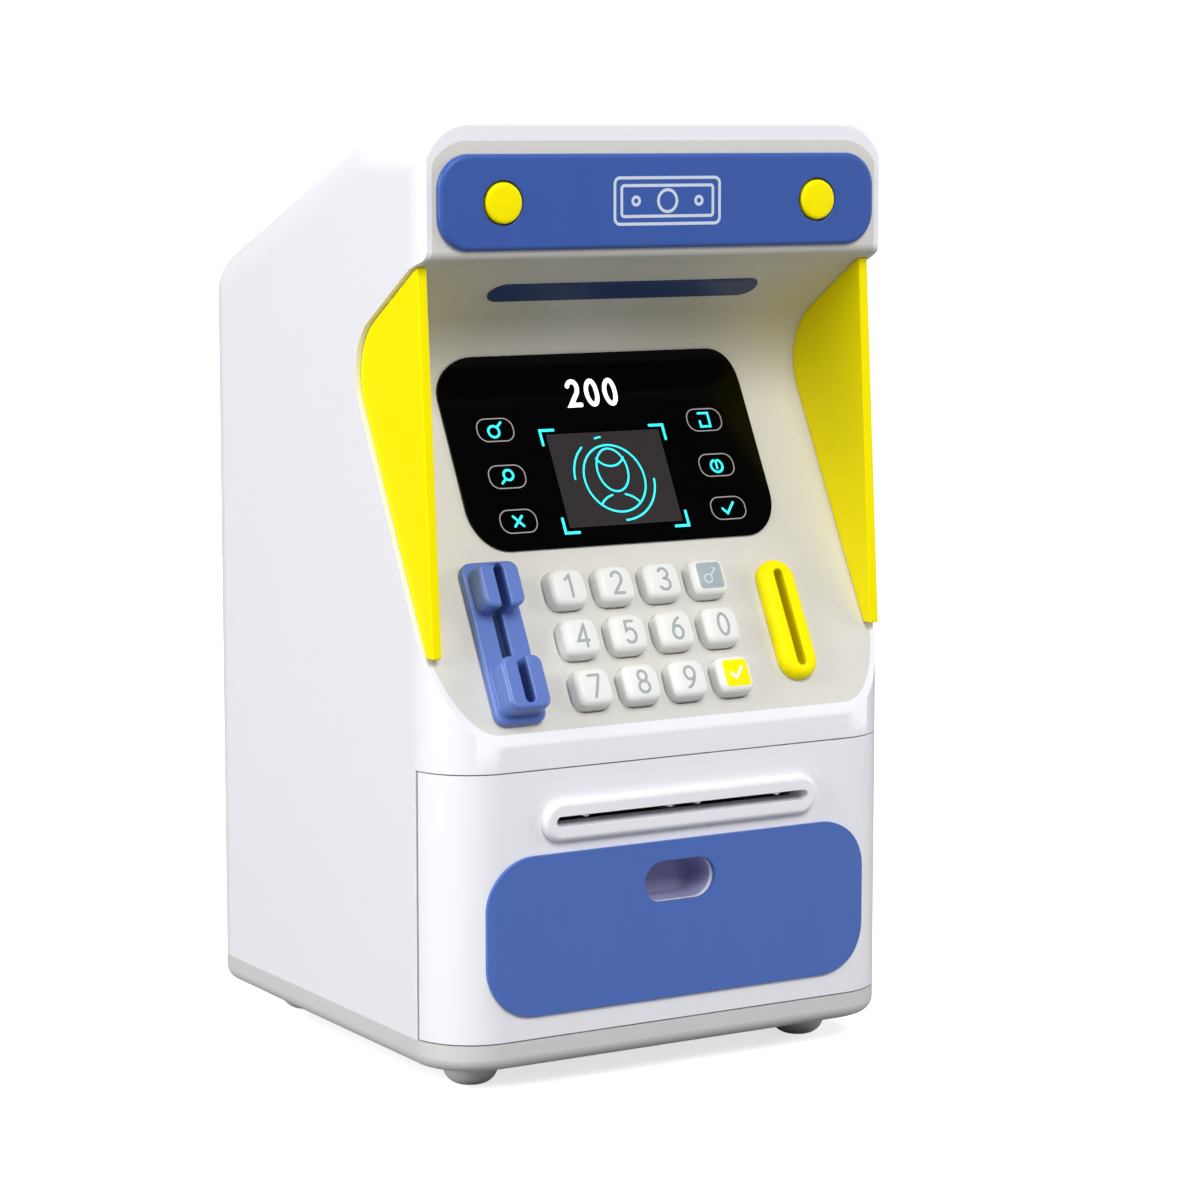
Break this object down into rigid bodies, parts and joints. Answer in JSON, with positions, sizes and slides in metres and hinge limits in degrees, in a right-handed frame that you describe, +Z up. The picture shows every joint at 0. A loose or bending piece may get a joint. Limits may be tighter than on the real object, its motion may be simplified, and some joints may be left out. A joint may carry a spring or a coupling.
{
  "type": "toy cash machine savings bank",
  "caption": "Toy cash-machine money bank: white cabinet with sloped keypad, screen, card reader, coin slot, motor note feed and a hinged locking money door.",
  "frame": {"origin": "middle of the footprint on the table, at the bottom of the feet", "axes": "+Z up, front with the keypad and door towards -Y, +X to the right seen from the front"},
  "size_m": [0.15, 0.1538, 0.266],
  "materials": {
    "white_shell": "smooth satin ABS",
    "grey_fascia": "fine satin moulded ABS",
    "grey_base": "satin moulded ABS",
    "blue_trim": "satin moulded ABS",
    "yellow_trim": "smooth moulded ABS",
    "screen_black": "polished acrylic over a printed back",
    "light_lens": "tinted clear lens",
    "key_white": "soft satin keycap",
    "foot_rubber": "translucent grey rubber",
    "membrane_rubber": "silicone sheet",
    "circuit_board": "solder mask over glass fibre",
    "inner_plastic": "unpolished ABS",
    "gear_plastic": "acetal",
    "tyre_rubber": "black rubber",
    "steel": "plain steel",
    "speaker_black": "black cone and frame",
    "switch_black": "black nylon",
    "battery_skin": "plain printed sleeve"
  },
  "bodies": {
    "cabinet": {"main_shell": "white_shell", "rear_cover": "white_shell", "base_tray": "grey_base", "fascia": "grey_fascia", "header_panel": "blue_trim", "card_reader": "blue_trim", "header_lamp_left": "yellow_trim", "header_lamp_right": "yellow_trim", "side_shield_left": "yellow_trim", "side_shield_right": "yellow_trim", "coin_slot": "yellow_trim", "screen_lens": "screen_black", "light_bar": "light_lens", "display_module": "switch_black", "keypad_membrane": "membrane_rubber", "keypad_board": "circuit_board", "main_board": "circuit_board", "card_switch": "switch_black", "foot_front_left": "foot_rubber", "foot_front_right": "foot_rubber", "foot_rear_left": "foot_rubber", "foot_rear_right": "foot_rubber", "money_bin": "inner_plastic", "coin_chute": "inner_plastic", "battery_box": "inner_plastic", "batteries": "battery_skin", "battery_contacts": "steel", "hinge_pins": "steel", "lock_body": "switch_black", "feed_bracket": "inner_plastic", "feed_motor": "steel", "speaker": "speaker_black", "power_switch": "switch_black", "case_screws": "steel"},
    "door_body": {"door": "white_shell", "door_catch": "inner_plastic", "door_panel": "blue_trim", "finger_cup": "grey_fascia", "bill_bezel": "white_shell"},
    "lock_bolt_body": {"lock_bolt": "steel"},
    "drive_body": {"drive_roller": "gear_plastic", "roller_tyres": "tyre_rubber"},
    "pinch_body": {"pinch_roller": "gear_plastic"},
    "pinion_body": {"motor_pinion": "gear_plastic"},
    "battery_cover_body": {"battery_cover": "grey_base"},
    "switch_body": {"switch_knob": "switch_black"},
    "key_1_body": {"key_1": "key_white"},
    "key_2_body": {"key_2": "key_white"},
    "key_3_body": {"key_3": "key_white"},
    "key_code_body": {"key_code": "key_white"},
    "key_4_body": {"key_4": "key_white"},
    "key_5_body": {"key_5": "key_white"},
    "key_6_body": {"key_6": "key_white"},
    "key_0_body": {"key_0": "key_white"},
    "key_7_body": {"key_7": "key_white"},
    "key_8_body": {"key_8": "key_white"},
    "key_9_body": {"key_9": "key_white"},
    "key_ok_body": {"key_ok": "key_white"}
  },
  "joints": [
    {"name": "door_swing", "type": "hinge", "parent": "cabinet", "child": "door_body", "pos_m": [0.0705, -0.06, 0.0534], "axis": [0, 0, 1], "range_deg": [0, 100]},
    {"name": "key_1_press", "type": "slide", "parent": "cabinet", "child": "key_1_body", "axis": [0, 0.8829, -0.4695], "range_m": [0, 0.0015], "stiffness_N_per_m": 500},
    {"name": "key_2_press", "type": "slide", "parent": "cabinet", "child": "key_2_body", "axis": [0, 0.8829, -0.4695], "range_m": [0, 0.0015], "stiffness_N_per_m": 500},
    {"name": "key_3_press", "type": "slide", "parent": "cabinet", "child": "key_3_body", "axis": [0, 0.8829, -0.4695], "range_m": [0, 0.0015], "stiffness_N_per_m": 500},
    {"name": "key_code_press", "type": "slide", "parent": "cabinet", "child": "key_code_body", "axis": [0, 0.8829, -0.4695], "range_m": [0, 0.0015], "stiffness_N_per_m": 500},
    {"name": "key_4_press", "type": "slide", "parent": "cabinet", "child": "key_4_body", "axis": [0, 0.8829, -0.4695], "range_m": [0, 0.0015], "stiffness_N_per_m": 500},
    {"name": "key_5_press", "type": "slide", "parent": "cabinet", "child": "key_5_body", "axis": [0, 0.8829, -0.4695], "range_m": [0, 0.0015], "stiffness_N_per_m": 500},
    {"name": "key_6_press", "type": "slide", "parent": "cabinet", "child": "key_6_body", "axis": [0, 0.8829, -0.4695], "range_m": [0, 0.0015], "stiffness_N_per_m": 500},
    {"name": "key_0_press", "type": "slide", "parent": "cabinet", "child": "key_0_body", "axis": [0, 0.8829, -0.4695], "range_m": [0, 0.0015], "stiffness_N_per_m": 500},
    {"name": "key_7_press", "type": "slide", "parent": "cabinet", "child": "key_7_body", "axis": [0, 0.8829, -0.4695], "range_m": [0, 0.0015], "stiffness_N_per_m": 500},
    {"name": "key_8_press", "type": "slide", "parent": "cabinet", "child": "key_8_body", "axis": [0, 0.8829, -0.4695], "range_m": [0, 0.0015], "stiffness_N_per_m": 500},
    {"name": "key_9_press", "type": "slide", "parent": "cabinet", "child": "key_9_body", "axis": [0, 0.8829, -0.4695], "range_m": [0, 0.0015], "stiffness_N_per_m": 500},
    {"name": "key_ok_press", "type": "slide", "parent": "cabinet", "child": "key_ok_body", "axis": [0, 0.8829, -0.4695], "range_m": [0, 0.0015], "stiffness_N_per_m": 500},
    {"name": "lock_slide", "type": "slide", "parent": "cabinet", "child": "lock_bolt_body", "axis": [0, 0, -1], "range_m": [0, 0.004]},
    {"name": "feed_turn", "type": "hinge", "parent": "cabinet", "child": "drive_body", "pos_m": [0, -0.056, 0.0711], "axis": [1, 0, 0], "continuous": true},
    {"name": "pinch_turn", "type": "hinge", "parent": "cabinet", "child": "pinch_body", "pos_m": [0, -0.056, 0.0801], "axis": [1, 0, 0], "continuous": true},
    {"name": "motor_turn", "type": "hinge", "parent": "cabinet", "child": "pinion_body", "pos_m": [-0.045, -0.0454, 0.07704], "axis": [1, 0, 0], "continuous": true},
    {"name": "battery_cover_off", "type": "slide", "parent": "cabinet", "child": "battery_cover_body", "axis": [0, 0, -1], "range_m": [0, 0.0075]},
    {"name": "power_slide", "type": "slide", "parent": "cabinet", "child": "switch_body", "axis": [1, 0, 0], "range_m": [0, 0.005]}
  ],
  "couplings": [
    {"joint": "motor_turn", "follows": "feed_turn", "ratio": -2},
    {"joint": "pinch_turn", "follows": "feed_turn", "ratio": -1.3889}
  ]
}
